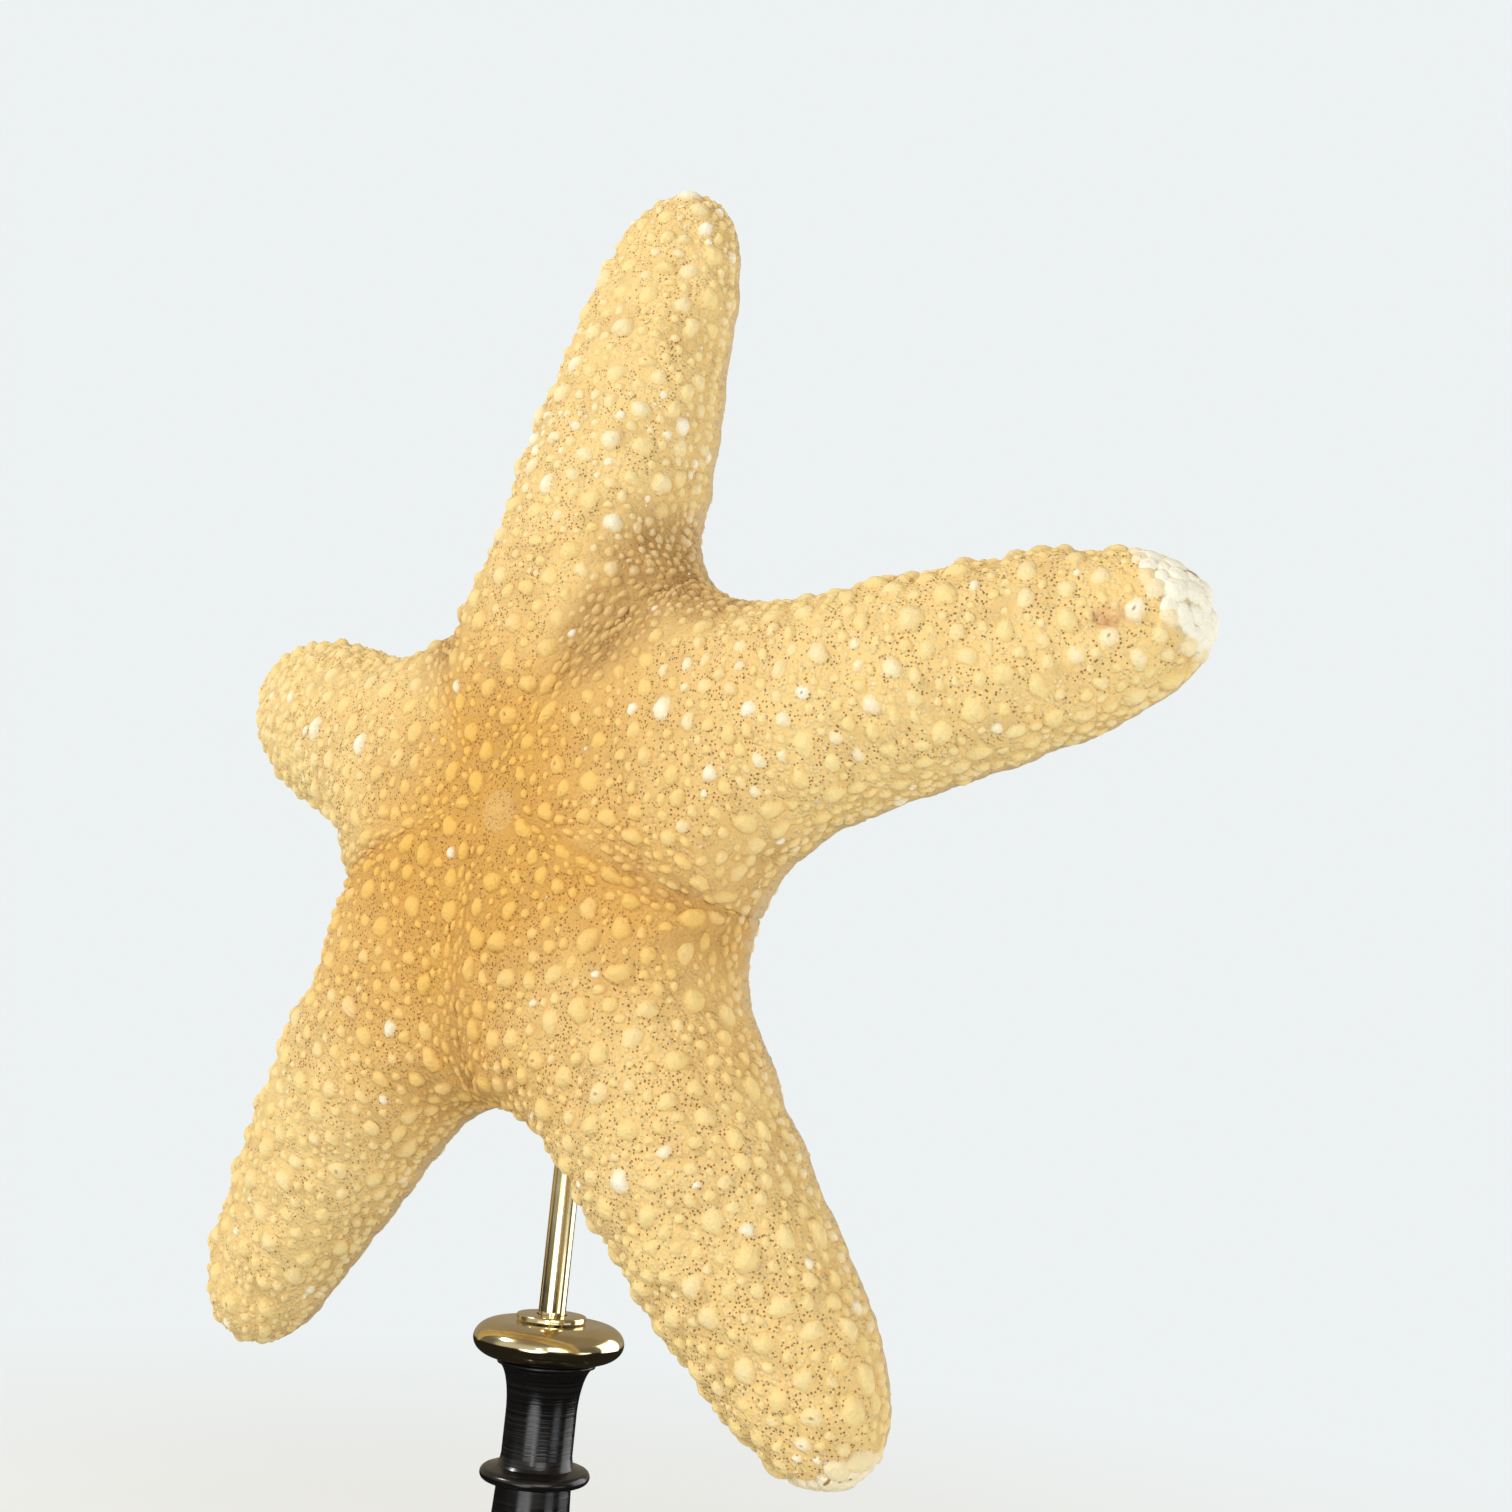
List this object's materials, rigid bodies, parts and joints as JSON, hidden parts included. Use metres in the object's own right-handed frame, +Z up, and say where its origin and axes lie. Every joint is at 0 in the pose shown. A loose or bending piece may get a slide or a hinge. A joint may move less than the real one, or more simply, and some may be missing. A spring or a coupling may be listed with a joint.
{
  "type": "dried starfish on a stand",
  "caption": "Dried starfish with a knobbly sandy skin, held upright by a brass rod and collar on a black turned stem and round foot.",
  "frame": {"origin": "centre of the foot's underside", "axes": "+Z up along the stand; the starfish's upper side faces -Y; +X is to the right, seen from the front"},
  "size_m": [0.2278, 0.096, 0.287],
  "materials": {
    "star_skin": "dry, chalky, matt skin of limy plates",
    "polished_brass": "polished",
    "black_wood": "ebonised, satin, with fine turning lines"
  },
  "bodies": {
    "root": {"starfish": "star_skin", "stand_rod": "polished_brass", "stand_washer": "polished_brass", "stand_collar": "polished_brass", "stand_stem": "black_wood", "stand_foot": "black_wood"}
  },
  "joints": []
}
